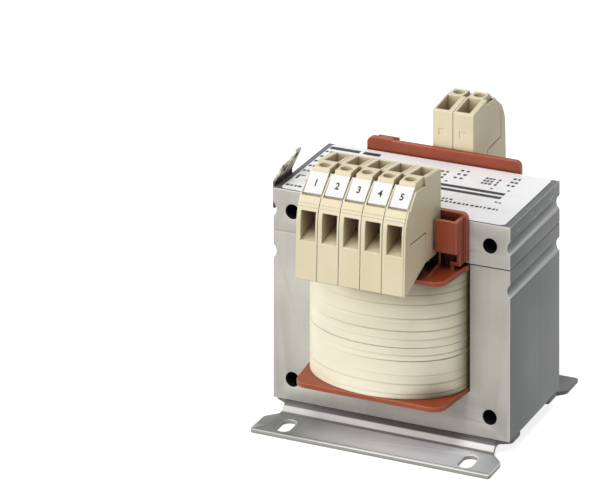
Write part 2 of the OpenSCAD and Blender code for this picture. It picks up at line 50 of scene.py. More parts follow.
# The camera stood level on its tripod with the lens lowered, so the uprights stay upright in
# the picture. A slanted view axis, held by the tripod, gives the same picture. Its place and
# aim were fitted to the corners of the core.
tripod = bpy.data.objects.new("tripod", None)
bpy.context.scene.collection.objects.link(tripod)
lens = bpy.data.cameras.new("lens")
lens.sensor_width = 36
lens.lens = 252.4
lens.clip_start = 0.05
lens.clip_end = 20
camera = bpy.data.objects.new("camera", lens)
bpy.context.scene.collection.objects.link(camera)
bpy.context.scene.camera = camera

LENS_LOWERED = 0.35492
eye = Vector((0.502637, -1.195370, 0.562644))
towards_lens = Vector((0.41469758, -0.90933361, 0.03373885)).normalized()
rightwards = Vector((0, 0, 1)).cross(towards_lens).normalized()
upwards = towards_lens.cross(rightwards)
slanted = (towards_lens + LENS_LOWERED * upwards).normalized()
camera.parent = tripod
camera.matrix_parent_inverse = Matrix((
    (rightwards.x, upwards.x, slanted.x, eye.x),
    (rightwards.y, upwards.y, slanted.y, eye.y),
    (rightwards.z, upwards.z, slanted.z, eye.z),
    (0, 0, 0, 1),
))


# The studio is a pale painted floor without a horizon, with large soft lights at the left, in
# front, high up in front and above the back. The floor is white to the lens, and keeps the
# object's shadow.
bpy.context.scene.view_settings.view_transform = "Standard"


def linear(hex_colour):
    """Turns an sRGB hex colour into the linear values that the shaders take."""
    channels = [int(hex_colour[i:i + 2], 16) / 255 for i in (1, 3, 5)]
    lit = [c / 12.92 if c <= 0.04045 else ((c + 0.055) / 1.055) ** 2.4 for c in channels]
    return (*lit, 1)


def add(tree, kind, inputs={}, stops=(), **settings):
    """Adds one node with its settings, sets or links its inputs, and sets the stops of a ramp."""
    node = tree.nodes.new(kind)
    for name, value in settings.items():
        setattr(node, name, value)
    for name, value in inputs.items():
        if isinstance(value, bpy.types.NodeSocket):
            tree.links.new(value, node.inputs[name])
        else:
            node.inputs[name].default_value = value
    for number, (position, colour) in enumerate(stops):
        if number > 1:
            node.color_ramp.elements.new(position)
        node.color_ramp.elements[number].position = position
        node.color_ramp.elements[number].color = linear(colour)
    return node


def seen_by_lens(tree):
    """Gives 1 to rays from the lens, also through gloss or clear parts, and 0 to rays that light."""
    ray = add(tree, "ShaderNodeLightPath")
    lens_or_gloss = add(tree, "ShaderNodeMath", {
        0: ray.outputs["Is Camera Ray"], 1: ray.outputs["Is Glossy Ray"]}, operation="MAXIMUM")
    seen = add(tree, "ShaderNodeMath", {
        0: lens_or_gloss.outputs[0], 1: ray.outputs["Is Transmission Ray"]}, operation="MAXIMUM")
    return seen.outputs[0]


floor_material = bpy.data.materials.new("painted_studio_floor")
floor_material.use_nodes = True
tree = floor_material.node_tree
tree.nodes.clear()
paint = add(tree, "ShaderNodeBsdfDiffuse", {"Color": linear("#C4C4C4")})
white = add(tree, "ShaderNodeEmission", {"Color": (1, 1, 1, 1), "Strength": 0.8})
unlit = add(tree, "ShaderNodeEmission", {"Strength": 0.0})
glow = add(tree, "ShaderNodeMixShader", {0: seen_by_lens(tree), 1: unlit.outputs[0], 2: white.outputs[0]})
both = add(tree, "ShaderNodeAddShader", {0: paint.outputs[0], 1: glow.outputs[0]})
add(tree, "ShaderNodeOutputMaterial", {"Surface": both.outputs[0]})

floor_mesh = bpy.data.meshes.new("studio_floor")
REACH = 6
floor_corners = [(-REACH, -REACH, 0), (REACH, -REACH, 0), (REACH, REACH, 0), (-REACH, REACH, 0)]
floor_mesh.from_pydata(floor_corners, [], [(0, 1, 2, 3)])
floor_mesh.materials.append(floor_material)
floor = bpy.data.objects.new("studio_floor", floor_mesh)
bpy.context.scene.collection.objects.link(floor)

world = bpy.data.worlds.new("studio_room")
bpy.context.scene.world = world
world.use_nodes = True
tree = world.node_tree
tree.nodes.clear()
level = add(tree, "ShaderNodeMapRange", {"Value": seen_by_lens(tree), "To Min": 0.3, "To Max": 1.0})
room = add(tree, "ShaderNodeBackground", {"Color": (1, 1, 1, 1), "Strength": level.outputs[0]})
add(tree, "ShaderNodeOutputWorld", {"Surface": room.outputs[0]})


def softbox(name, at, look_at, size, power):
    """Hangs up one square area light."""
    light = bpy.data.lights.new(name, "AREA")
    light.shape = "SQUARE"
    light.size = size
    light.energy = power
    lamp = bpy.data.objects.new(name, light)
    lamp.location = at
    lamp.rotation_euler = (Vector(look_at) - Vector(at)).to_track_quat("-Z", "Y").to_euler()
    bpy.context.scene.collection.objects.link(lamp)


softbox("left_softbox", (-1.2, -1.0, 0.75), (0, 0, 0.04), 0.6, 11)
softbox("front_softbox", (-0.35, -1.7, 0.95), (0, 0, 0.03), 0.7, 8)
softbox("high_softbox", (0.1, -0.95, 1.75), (0, 0, 0.03), 0.6, 12)
softbox("rear_softbox", (0.35, 0.7, 1.7), (0, 0, 0.05), 0.8, 6)


# The core is a stack of punched silicon-steel sheets: an E pushed through the bobbin and an I
# welded on top. The front shows one rolled sheet, the sides show the cut edges of all of them.
MM = 0.001
core_low, core_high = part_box("core_e_stack")[0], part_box("core_i_stack")[1]


def start_material(name, **surface):
    """Starts a material with one shader. Its plain values are the shader's own."""
    material = bpy.data.materials.new(name)
    material.use_nodes = True
    tree = material.node_tree
    tree.nodes.clear()
    shader = add(tree, "ShaderNodeBsdfPrincipled", surface)
    add(tree, "ShaderNodeOutputMaterial", {"Surface": shader.outputs["BSDF"]})
    return material, tree, shader


def dress(piece, material):
    """Gives a piece its only material."""
    piece.data.materials.clear()
    piece.data.materials.append(material)


def make_plain(piece):
    """Turns a piece and its modifiers into one plain mesh."""
    bpy.context.view_layer.update()
    evaluated = piece.evaluated_get(bpy.context.evaluated_depsgraph_get())
    finished = bpy.data.meshes.new_from_object(evaluated)
    piece.modifiers.clear()
    piece.data = finished


def broken_edges(node, width):
    """Takes a CAD piece's place with a copy whose sharp edges are rounded off by width metres."""
    same_point, same_face, sharp = 0.002 * MM, math.radians(0.4), math.radians(30)
    shape = bmesh.new()
    shape.from_mesh(cad[node].data)
    bmesh.ops.remove_doubles(shape, verts=shape.verts, dist=same_point)
    bmesh.ops.dissolve_limit(shape, angle_limit=same_face, verts=shape.verts, edges=shape.edges)
    for face in shape.faces:
        face.smooth = True
    mesh = bpy.data.meshes.new(f"{node}_finished")
    shape.to_mesh(mesh)
    shape.free()
    piece = bpy.data.objects.new(f"{node}_finished", mesh)
    bpy.context.scene.collection.objects.link(piece)
    rounding = piece.modifiers.new("rounding", "BEVEL")
    rounding.width = width
    rounding.segments = 2
    rounding.limit_method = "ANGLE"
    rounding.angle_limit = sharp
    rounding.use_clamp_overlap = False
    rounding.harden_normals = True
    make_plain(piece)
    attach(piece, "root")
    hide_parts(node)
    return piece


# Silicon steel, cold rolled and punched, has an oxide skin that hides most of the metal. The eye
# sees dull warm grey faces with soft clouds 18 mm wide and faint rolling lines 2 mm wide. The
# sheets are 0.5 mm thick, drawn 1.5 mm apart to show at all.
steel, tree, shader = start_material("punched_silicon_steel", Metallic=0.15)
place = add(tree, "ShaderNodeTexCoord")
where = add(tree, "ShaderNodeSeparateXYZ", {0: place.outputs["Object"]})
facing = add(tree, "ShaderNodeSeparateXYZ", {0: place.outputs["Normal"]})
cloud = add(tree, "ShaderNodeTexNoise", {
    "Vector": place.outputs["Object"], "Scale": 1 / (18 * MM), "Detail": 4.0})
face_colour = add(tree, "ShaderNodeValToRGB", {"Fac": cloud.outputs["Fac"]}, stops=(
    (0.3, "#B2AFA7"), (0.7, "#C1BEB6")))
along_rolling = add(tree, "ShaderNodeMapping", {
    "Vector": place.outputs["Object"], "Scale": (1 / (2 * MM), 1 / (2 * MM), 1 / (33 * MM))})
rolling = add(tree, "ShaderNodeTexNoise", {
    "Vector": along_rolling.outputs[0], "Scale": 1.0, "Detail": 2.0})
streak = add(tree, "ShaderNodeMapRange", {
    "Value": rolling.outputs["Fac"], "From Min": 0.3, "From Max": 0.7, "To Min": 0.97, "To Max": 1.02})
streaked = add(tree, "ShaderNodeMix", {
    0: 1.0, 6: face_colour.outputs[0], 7: streak.outputs[0]}, data_type="RGBA", blend_type="MULTIPLY")
across_sheets = add(tree, "ShaderNodeMapping", {
    "Vector": place.outputs["Object"], "Scale": (1 / (100 * MM), 1 / (1.5 * MM), 1 / (70 * MM))})
sheets = add(tree, "ShaderNodeTexNoise", {
    "Vector": across_sheets.outputs[0], "Scale": 1.0, "Detail": 2.0})
# The sides are darker grey: partly the cut edges, partly painted shade on the side turned from the light.
side_colour_and_shade = add(tree, "ShaderNodeValToRGB", {"Fac": sheets.outputs["Fac"]}, stops=(
    (0.3, "#646766"), (0.7, "#6C6F6E")))

# The notches run through all the sheets. Their upper flank is painted in shade and their lower
# flank is painted bright, as if lit from above. The top of the yoke is dull like the sides.
turned_up = add(tree, "ShaderNodeMapRange", {
    "Value": facing.outputs["Z"], "From Min": -1.0, "From Max": 1.0})
flank_light_and_shade = add(tree, "ShaderNodeValToRGB", {"Fac": turned_up.outputs[0]}, stops=(
    (0.2, "#2E3030"), (0.44, "#484B4A"), (0.52, "#686B6A"),
    (0.64, "#8C8F8E"), (0.82, "#D0D2D1"), (0.97, "#626463")))
off_level = add(tree, "ShaderNodeMath", {0: facing.outputs["Z"]}, operation="ABSOLUTE")
is_flank = add(tree, "ShaderNodeMapRange", {
    "Value": off_level.outputs[0], "From Min": 0.03, "From Max": 0.15})
sides = add(tree, "ShaderNodeMix", {
    0: is_flank.outputs[0], 6: side_colour_and_shade.outputs[0], 7: flank_light_and_shade.outputs[0]}, data_type="RGBA")
frontways = add(tree, "ShaderNodeMath", {0: facing.outputs["Y"]}, operation="ABSOLUTE")
is_front = add(tree, "ShaderNodeMapRange", {
    "Value": frontways.outputs[0], "From Min": 0.5, "From Max": 0.75})
metal = add(tree, "ShaderNodeMix", {
    0: is_front.outputs[0], 6: sides.outputs[2], 7: streaked.outputs[2]}, data_type="RGBA")

# Short bright glints painted along the cut edges of the yoke, and a painted highlight along each rounded
# outer edge.
along_glints = add(tree, "ShaderNodeMapping", {
    "Vector": place.outputs["Object"], "Scale": (1 / (100 * MM), 1 / (4 * MM), 1 / (0.8 * MM))})
glint_noise = add(tree, "ShaderNodeTexNoise", {"Vector": along_glints.outputs[0], "Scale": 1.0, "Detail": 1.0})
glint = add(tree, "ShaderNodeMapRange", {
    "Value": glint_noise.outputs["Fac"], "From Min": 0.62, "From Max": 0.7, "To Max": 0.6})
on_yoke = add(tree, "ShaderNodeMapRange", {
    "Value": where.outputs["Z"], "From Min": core_high.z - 7.8 * MM, "From Max": core_high.z - 4.8 * MM})
on_side = add(tree, "ShaderNodeMath", {
    0: on_yoke.outputs[0], 1: is_front.outputs[0]}, operation="SUBTRACT")
side_glint = add(tree, "ShaderNodeMath", {
    0: glint.outputs[0], 1: on_side.outputs[0]}, operation="MULTIPLY", use_clamp=True)
glinted = add(tree, "ShaderNodeMix", {
    0: side_glint.outputs[0], 6: metal.outputs[2], 7: linear("#A6A9A8")}, data_type="RGBA")
painted_edge_highlight = add(tree, "ShaderNodeValToRGB", {"Fac": frontways.outputs[0]}, stops=(
    (0.2, "#000000"), (0.45, "#FFFFFF"), (0.9, "#FFFFFF"), (0.985, "#000000")))
edge_highlighted = add(tree, "ShaderNodeMix", {
    0: painted_edge_highlight.outputs[0], 6: glinted.outputs[2], 7: linear("#D6D5CF")}, data_type="RGBA")

# The joint between the E and the I is a dark hairline, closed more tightly at the left.
seam_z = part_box("core_i_stack")[0].z
above_seam = add(tree, "ShaderNodeMath", {0: where.outputs["Z"], 1: seam_z}, operation="SUBTRACT")
off_seam = add(tree, "ShaderNodeMath", {0: above_seam.outputs[0]}, operation="ABSOLUTE")
in_seam = add(tree, "ShaderNodeMapRange", {
    "Value": off_seam.outputs[0], "From Min": 0.25 * MM, "From Max": 0.15 * MM})
seam_gape = add(tree, "ShaderNodeMapRange", {
    "Value": where.outputs["X"], "From Min": -30 * MM, "From Max": 10 * MM, "To Min": 0.3})
seam = add(tree, "ShaderNodeMath", {0: in_seam.outputs[0], 1: seam_gape.outputs[0]}, operation="MULTIPLY")
jointed = add(tree, "ShaderNodeMix", {
    0: seam.outputs[0], 6: edge_highlighted.outputs[2], 7: linear("#4A4845")}, data_type="RGBA")

# The bores of the four corner holes are painted near black as shade. Their edges are sharp.
HOLE_INSET, HOLE_R, HOLE_RIM = 7 * MM, 2.5 * MM, 0.05 * MM
holes_middle_z = (core_low.z + core_high.z) / 2
half_x = add(tree, "ShaderNodeMath", {0: where.outputs["X"]}, operation="ABSOLUTE")
hole_across = add(tree, "ShaderNodeMath", {
    0: half_x.outputs[0], 1: core_high.x - HOLE_INSET}, operation="SUBTRACT")
from_middle = add(tree, "ShaderNodeMath", {
    0: where.outputs["Z"], 1: holes_middle_z}, operation="SUBTRACT")
half_z = add(tree, "ShaderNodeMath", {0: from_middle.outputs[0]}, operation="ABSOLUTE")
hole_up = add(tree, "ShaderNodeMath", {
    0: half_z.outputs[0], 1: core_high.z - HOLE_INSET - holes_middle_z}, operation="SUBTRACT")
from_hole = add(tree, "ShaderNodeCombineXYZ", {"X": hole_across.outputs[0], "Y": hole_up.outputs[0]})
hole_reach = add(tree, "ShaderNodeVectorMath", {0: from_hole.outputs[0]}, operation="LENGTH")
in_hole = add(tree, "ShaderNodeMapRange", {
    "Value": hole_reach.outputs["Value"], "From Min": HOLE_R + HOLE_RIM, "From Max": HOLE_R - HOLE_RIM})
bore_shaded = add(tree, "ShaderNodeMix", {
    0: in_hole.outputs[0], 6: jointed.outputs[2], 7: linear("#141316")}, data_type="RGBA")
tree.links.new(bore_shaded.outputs[2], shader.inputs["Base Color"])
rough = add(tree, "ShaderNodeMapRange", {"Value": cloud.outputs["Fac"], "To Min": 0.42, "To Max": 0.54})
tree.links.new(rough.outputs[0], shader.inputs["Roughness"])
relief = add(tree, "ShaderNodeBump", {
    "Height": sheets.outputs["Fac"], "Distance": 0.02 * MM, "Strength": 0.3})
tree.links.new(relief.outputs[0], shader.inputs["Normal"])
for node in ("core_e_stack", "core_i_stack"):
    dress(broken_edges(node, 0.25 * MM), steel)


# The feet are folded from zinc-plated steel sheet, one welded under each long side of the core.
# Zinc, barrel plated with a clear blue passivation, is satin and pale blue. Along the foot it drifts
# from lead grey to pale blue, in clouds 14 mm wide, as a painted reflection.
zinc, tree, shader = start_material("blue_passivated_zinc_plate", Metallic=0.1)
place = add(tree, "ShaderNodeTexCoord")
where = add(tree, "ShaderNodeSeparateXYZ", {0: place.outputs["Object"]})
facing = add(tree, "ShaderNodeSeparateXYZ", {0: place.outputs["Normal"]})
cloud = add(tree, "ShaderNodeTexNoise", {
    "Vector": place.outputs["Object"], "Scale": 1 / (14 * MM), "Detail": 3.0})
CLOUD_SHIFT = 8 * MM
foot_low, foot_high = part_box("front_foot")
drift = add(tree, "ShaderNodeMath", {
    0: cloud.outputs["Fac"], 1: CLOUD_SHIFT, 2: where.outputs["X"]}, operation="MULTIPLY_ADD")
run = add(tree, "ShaderNodeMapRange", {
    "Value": drift.outputs[0],
    "From Min": foot_low.x + CLOUD_SHIFT / 2, "From Max": foot_high.x + CLOUD_SHIFT / 2})
plate_reflection = add(tree, "ShaderNodeValToRGB", {"Fac": run.outputs[0]}, stops=(
    (0.0, "#7A7C79"), (0.16, "#858784"), (0.36, "#D0D2D1"), (0.52, "#ECEEEE"), (0.74, "#EEF1F5"),
    (0.85, "#E4E7EA"), (0.93, "#BEC1C3"), (1.0, "#ACAEB0")))

# The sloped web has a painted highlight, brighter than the plate and darker at the left end, and
# the cut edges of the sheet are dull. The rear foot is darker all over.
up = add(tree, "ShaderNodeMath", {0: facing.outputs["Z"]}, operation="ABSOLUTE")
web_highlight = add(tree, "ShaderNodeValToRGB", {"Fac": run.outputs[0]}, stops=(
    (0.0, "#BDBCB8"), (0.22, "#C2C1BD"), (0.42, "#F0EFEC"), (1.0, "#EAE9E6")))
is_sloped = add(tree, "ShaderNodeMapRange", {"Value": up.outputs[0], "From Min": 0.3, "From Max": 0.55})
turned = add(tree, "ShaderNodeMix", {
    0: is_sloped.outputs[0], 6: linear("#9C9993"), 7: web_highlight.outputs[0]}, data_type="RGBA")
is_flat = add(tree, "ShaderNodeMapRange", {"Value": up.outputs[0], "From Min": 0.9, "From Max": 0.97})
plated = add(tree, "ShaderNodeMix", {
    0: is_flat.outputs[0], 6: turned.outputs[2], 7: plate_reflection.outputs[0]}, data_type="RGBA")
is_rear = add(tree, "ShaderNodeMapRange", {
    "Value": where.outputs["Y"], "From Min": 5 * MM, "From Max": 25 * MM, "To Max": 0.9})
rear_darkened = add(tree, "ShaderNodeMix", {
    0: is_rear.outputs[0], 6: plated.outputs[2], 7: linear("#5D605F")}, data_type="RGBA")

# The upper third of each web, in shade under the core's edge, is painted dark. Painted shade lies
# in the crease along its foot, and a dark line runs 1 mm inside each outer edge.
SHADE_FADE, CREASE_Z, CREASE_HALF = 0.25 * MM, 1.78 * MM, 0.27 * MM
shade_z = foot_high.z - 1.2 * MM
edge_line_y = abs(foot_low.y) - 1.1 * MM
is_under_core = add(tree, "ShaderNodeMapRange", {
    "Value": where.outputs["Z"], "From Min": shade_z - SHADE_FADE, "From Max": shade_z, "To Max": 0.95})
core_shaded = add(tree, "ShaderNodeMix", {
    0: is_under_core.outputs[0], 6: rear_darkened.outputs[2], 7: linear("#4C4A46")}, data_type="RGBA")
at_crease = add(tree, "ShaderNodeMath", {
    0: where.outputs["Z"], 1: CREASE_Z, 2: CREASE_HALF}, operation="COMPARE")
in_crease = add(tree, "ShaderNodeMath", {0: at_crease.outputs[0], 1: 0.85}, operation="MULTIPLY")
crease_shaded = add(tree, "ShaderNodeMix", {
    0: in_crease.outputs[0], 6: core_shaded.outputs[2], 7: linear("#565550")}, data_type="RGBA")
half_y = add(tree, "ShaderNodeMath", {0: where.outputs["Y"]}, operation="ABSOLUTE")
from_line = add(tree, "ShaderNodeMath", {0: half_y.outputs[0], 1: edge_line_y}, operation="SUBTRACT")
off_line = add(tree, "ShaderNodeMath", {0: from_line.outputs[0]}, operation="ABSOLUTE")
in_line = add(tree, "ShaderNodeMapRange", {
    "Value": off_line.outputs[0], "From Min": 0.3 * MM, "From Max": 0.1 * MM, "To Max": 0.7})
lined = add(tree, "ShaderNodeMix", {
    0: in_line.outputs[0], 6: crease_shaded.outputs[2], 7: linear("#62625F")}, data_type="RGBA")
tree.links.new(lined.outputs[2], shader.inputs["Base Color"])
rough = add(tree, "ShaderNodeMapRange", {"Value": cloud.outputs["Fac"], "To Min": 0.34, "To Max": 0.5})
tree.links.new(rough.outputs[0], shader.inputs["Roughness"])
for node in ("front_foot", "rear_foot"):
    dress(broken_edges(node, 0.3 * MM), zinc)


# The bobbin is one terracotta moulding that slides over the centre limb. Polyamide, moulded in
# polished steel, is smooth with faint flow marks 11 mm wide. Its rounded edges get a painted
# highlight, and its inner corners and the space below the terminals get painted shade.
def moulded_polyamide(name, roughness, flow_width, body, edge_radius, highlight, corner, depth_shade, depth_share):
    """Starts a moulded plastic: flow marks, edges rounded off with a painted highlight, and painted shade
    in corners and depths.
    """
    corner_reach, depth_reach = 2 * MM, 16 * MM
    material, tree, shader = start_material(name, Roughness=roughness, IOR=1.53)
    place = add(tree, "ShaderNodeTexCoord")
    flow = add(tree, "ShaderNodeTexNoise", {
        "Vector": place.outputs["Object"], "Scale": 1 / flow_width, "Detail": 3.0})
    plastic = add(tree, "ShaderNodeValToRGB", {"Fac": flow.outputs["Fac"]}, stops=body)
    rounded = add(tree, "ShaderNodeBevel", {"Radius": edge_radius}, samples=6)
    surface = add(tree, "ShaderNodeNewGeometry")
    match = add(tree, "ShaderNodeVectorMath", {
        0: rounded.outputs[0], 1: surface.outputs["True Normal"]}, operation="DOT_PRODUCT")
    open_air = add(tree, "ShaderNodeAmbientOcclusion", {"Distance": corner_reach}, samples=6)
    in_corner = add(tree, "ShaderNodeMapRange", {
        "Value": open_air.outputs["AO"], "From Min": 0.75, "From Max": 0.25, "To Max": 0.7})
    far_air = add(tree, "ShaderNodeAmbientOcclusion", {"Distance": depth_reach}, samples=6)
    in_depth = add(tree, "ShaderNodeMapRange", {
        "Value": far_air.outputs["AO"], "From Min": 0.42, "From Max": 0.2, "To Max": depth_share})
    on_edge = add(tree, "ShaderNodeMapRange", {
        "Value": match.outputs["Value"], "From Min": 0.995, "From Max": 0.85, "To Max": 0.8})
    highlit = add(tree, "ShaderNodeMix", {
        0: on_edge.outputs[0], 6: plastic.outputs[0], 7: linear(highlight)}, data_type="RGBA")
    shaded = add(tree, "ShaderNodeMix", {
        0: in_corner.outputs[0], 6: highlit.outputs[2], 7: linear(corner)}, data_type="RGBA")
    depth_shaded = add(tree, "ShaderNodeMix", {
        0: in_depth.outputs[0], 6: shaded.outputs[2], 7: linear(depth_shade)}, data_type="RGBA")
    tree.links.new(depth_shaded.outputs[2], shader.inputs["Base Color"])
    tree.links.new(rounded.outputs[0], shader.inputs["Normal"])
    return material


terracotta = moulded_polyamide(
    "moulded_terracotta_polyamide", roughness=0.4, flow_width=11 * MM, edge_radius=0.6 * MM,
    body=((0.3, "#8A3714"), (0.7, "#963F1C")), highlight="#D2714B", corner="#4A1512",
    depth_shade="#160A08", depth_share=0.95)
dress(cad["bobbin"], terracotta)


# The windings are enamelled copper wire, wound in layers with a film between them, all hidden
# by the tape. The ends of the wire are tinned, and run up to the terminals.

# Drawn copper under a clear enamel: bright brown wires with dark lines between, 0.9 mm apart.
# A band of the wave is a tenth of pi wide at scale 1.
copper, tree, shader = start_material("enamelled_copper_wire", Metallic=0.7, Roughness=0.3)
place = add(tree, "ShaderNodeTexCoord")
wires = add(tree, "ShaderNodeTexWave", {
    "Vector": place.outputs["Object"], "Scale": math.pi / 10 / (0.9 * MM)}, bands_direction="Z")
enamel = add(tree, "ShaderNodeValToRGB", {"Fac": wires.outputs["Fac"]}, stops=(
    (0.0, "#6E3A1E"), (0.6, "#A8683B")))
tree.links.new(enamel.outputs[0], shader.inputs["Base Color"])
for node in ("primary_winding", "secondary_winding"):
    dress(cad[node], copper)

# Polyester film, cast and stretched: a smooth amber skin, cloudy over 12 mm.
film, tree, shader = start_material("polyester_insulation_film", Roughness=0.3)
place = add(tree, "ShaderNodeTexCoord")
cloud = add(tree, "ShaderNodeTexNoise", {"Vector": place.outputs["Object"], "Scale": 1 / (12 * MM)})
amber = add(tree, "ShaderNodeValToRGB", {"Fac": cloud.outputs["Fac"]}, stops=(
    (0.3, "#D2BE7C"), (0.7, "#DDCD92")))
tree.links.new(amber.outputs[0], shader.inputs["Base Color"])
dress(cad["interlayer_insulation"], film)

# Copper dipped in tin: a soft silver shine with warm spots 2.5 mm wide.
tinned, tree, shader = start_material("tinned_copper", Metallic=0.9, Roughness=0.35)
place = add(tree, "ShaderNodeTexCoord")
cloud = add(tree, "ShaderNodeTexNoise", {"Vector": place.outputs["Object"], "Scale": 1 / (2.5 * MM)})
solder = add(tree, "ShaderNodeValToRGB", {"Fac": cloud.outputs["Fac"]}, stops=(
    (0.3, "#B9B6AE"), (0.7, "#D0CDC6")))
tree.links.new(solder.outputs[0], shader.inputs["Base Color"])
for node in ("front_leads", "rear_leads", *(f"current_bar_{n}" for n in range(1, 8))):
    dress(cad[node], tinned)


# The outer wrap is glossy cream tape, wound round in lapping turns. Each turn's lower edge lies
# over the turn below it, with a painted shadow line along it, strongest on the right.
wrap_low, wrap_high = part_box("outer_wrap")

# A turn is given by the height of its lower edge above the foot of the wrap, and by how far that
# edge stands out, in millimetres.
TURN_EDGES = (
    (0, 0.05), (1.6, 0.16), (4.9, 0.16), (7.7, 0.07), (12.2, 0.05), (14.2, 0.18), (16.6, 0.04),
    (19.3, 0.14), (21.9, 0.18), (24.6, 0.04), (26.0, 0.24), (30.5, 0.24), (33.5, 0.20), (35.7, 0.16))
FULL_STEP = 0.24
turn_tops = [low for low, step in TURN_EDGES[1:]] + [(wrap_high.z - wrap_low.z) / MM]
turn_points = bpy.data.meshes.new("tape_turns")
turn_points.from_pydata([(0, 0, wrap_low.z + low * MM) for low, step in TURN_EDGES], [], [])
turn_values = {
    "turn_height": [(top - low) * MM for (low, step), top in zip(TURN_EDGES, turn_tops)],
    "turn_lean": [step * MM for low, step in TURN_EDGES[1:]] + [0.0],
    "tilt_x": [random.uniform(-0.006, 0.006) for top in turn_tops],
    "tilt_y": [random.uniform(-0.004, 0.004) for top in turn_tops],
    "lap_shade": [step / FULL_STEP for low, step in TURN_EDGES],
}
for name, numbers in turn_values.items():
    turn_points.attributes.new(name, "FLOAT", "POINT").data.foreach_set("value", numbers)

# Plasticised cream tape, calendered and slit: a half-gloss skin with faint bands 6 mm high and
# 40 mm long, where it was pulled. Painted shadow runs along its edges and into the gap on the right.
tape, tree, shader = start_material("cream_winding_tape", Roughness=0.45, IOR=1.48)
place = add(tree, "ShaderNodeTexCoord")
stretched = add(tree, "ShaderNodeMapping", {
    "Vector": place.outputs["Object"], "Scale": (1 / (40 * MM), 1 / (40 * MM), 1 / (6 * MM))})
cloud = add(tree, "ShaderNodeTexNoise", {"Vector": stretched.outputs[0], "Scale": 1.0, "Detail": 3.0})
cream = add(tree, "ShaderNodeValToRGB", {"Fac": cloud.outputs["Fac"]}, stops=(
    (0.3, "#F0E8CB"), (0.7, "#F7F1DB")))
# The painted shadow line along each turn's lower edge: stronger where the edge stands out more, and on the
# flank turned away from the light.
height = add(tree, "ShaderNodeAttribute", attribute_name="above_edge")
lap_shade = add(tree, "ShaderNodeAttribute", attribute_name="lap_shade_share")
near_edge = add(tree, "ShaderNodeMapRange", {
    "Value": height.outputs["Fac"], "From Min": 0.35 * MM, "From Max": 0.15 * MM, "To Max": 0.5})
facing = add(tree, "ShaderNodeSeparateXYZ", {0: place.outputs["Normal"]})
turned_from_light = add(tree, "ShaderNodeMapRange", {
    "Value": facing.outputs["X"], "From Min": -0.7, "From Max": 0.2})
edge_shade = add(tree, "ShaderNodeMath", {
    0: near_edge.outputs[0], 1: lap_shade.outputs["Fac"]}, operation="MULTIPLY")
lap_shadow = add(tree, "ShaderNodeMath", {
    0: edge_shade.outputs[0], 1: turned_from_light.outputs[0]}, operation="MULTIPLY")
lap_shadowed = add(tree, "ShaderNodeMix", {
    0: lap_shadow.outputs[0], 6: cream.outputs[0], 7: linear("#A89E7E")}, data_type="RGBA")
# Painted shade where the right flank runs into the gap by the core limb.
open_air = add(tree, "ShaderNodeAmbientOcclusion", {"Distance": 14 * MM}, samples=8)
in_gap = add(tree, "ShaderNodeMapRange", {
    "Value": open_air.outputs["AO"], "From Min": 0.97, "From Max": 0.6, "To Max": 1.0})
on_right = add(tree, "ShaderNodeMapRange", {
    "Value": facing.outputs["X"], "From Min": 0.05, "From Max": 0.6})
gap_shade = add(tree, "ShaderNodeMath", {0: in_gap.outputs[0], 1: on_right.outputs[0]}, operation="MULTIPLY")
gap_shaded = add(tree, "ShaderNodeMix", {
    0: gap_shade.outputs[0], 6: lap_shadowed.outputs[2], 7: linear("#5C553C")}, data_type="RGBA")
tree.links.new(gap_shaded.outputs[2], shader.inputs["Base Color"])


def start_group(name, geometry_in, amounts, geometry_out):
    """Starts a node group that makes geometry, with a socket for each amount."""
    group = bpy.data.node_groups.new(name, "GeometryNodeTree")
    group.interface.new_socket(geometry_in, in_out="INPUT", socket_type="NodeSocketGeometry")
    for socket, value in amounts.items():
        kind = "NodeSocketFloat" if isinstance(value, float) else "NodeSocketMaterial"
        group.interface.new_socket(socket, in_out="INPUT", socket_type=kind)
    group.interface.new_socket(geometry_out, in_out="OUTPUT", socket_type="NodeSocketGeometry")
    return group, group.nodes.new("NodeGroupInput").outputs


def run_group(piece, group, amounts):
    """Runs a node group on a piece with these amounts, and keeps the mesh that it makes."""
    making = piece.modifiers.new("making", "NODES")
    making.node_group = group
    for socket in group.interface.items_tree:
        if socket.name in amounts:
            making[socket.identifier] = amounts[socket.name]
    make_plain(piece)


TAPE_STOCK = 0.7 * MM
tape_amounts = {
    "Half width": wrap_high.x - TAPE_STOCK / 2, "Reach": wrap_high.y - core_high.y - TAPE_STOCK / 2,
    "Half stack": core_high.y, "Tape stock": TAPE_STOCK, "Tape": tape}
winder, given = start_group("wind_tape", "Turns", tape_amounts, "Wrap")
value = {}
for name in turn_values:
    stored = add(winder, "GeometryNodeInputNamedAttribute", {"Name": name}, data_type="FLOAT")
    value[name] = stored.outputs[0]

# The path: a circle drawn out to a half ellipse in front and one behind, joined in the windows,
# where the steepness below makes the step from back to front.
circle = add(winder, "GeometryNodeCurvePrimitiveCircle", {"Resolution": 192, "Radius": 1.0})
position = add(winder, "GeometryNodeInputPosition")
at = add(winder, "ShaderNodeSeparateXYZ", {0: position.outputs[0]})
steep = add(winder, "ShaderNodeMath", {0: at.outputs["Y"], 1: 40.0}, operation="MULTIPLY")
not_below = add(winder, "ShaderNodeMath", {0: steep.outputs[0], 1: -1.0}, operation="MAXIMUM")
end = add(winder, "ShaderNodeMath", {0: not_below.outputs[0], 1: 1.0}, operation="MINIMUM")
bulge = add(winder, "ShaderNodeMath", {0: at.outputs["Y"], 1: given["Reach"]}, operation="MULTIPLY")
oval_x = add(winder, "ShaderNodeMath", {0: at.outputs["X"], 1: given["Half width"]}, operation="MULTIPLY")
oval_y = add(winder, "ShaderNodeMath", {
    0: end.outputs[0], 1: given["Half stack"], 2: bulge.outputs[0]}, operation="MULTIPLY_ADD")
oval = add(winder, "ShaderNodeCombineXYZ", {"X": oval_x.outputs[0], "Y": oval_y.outputs[0]})
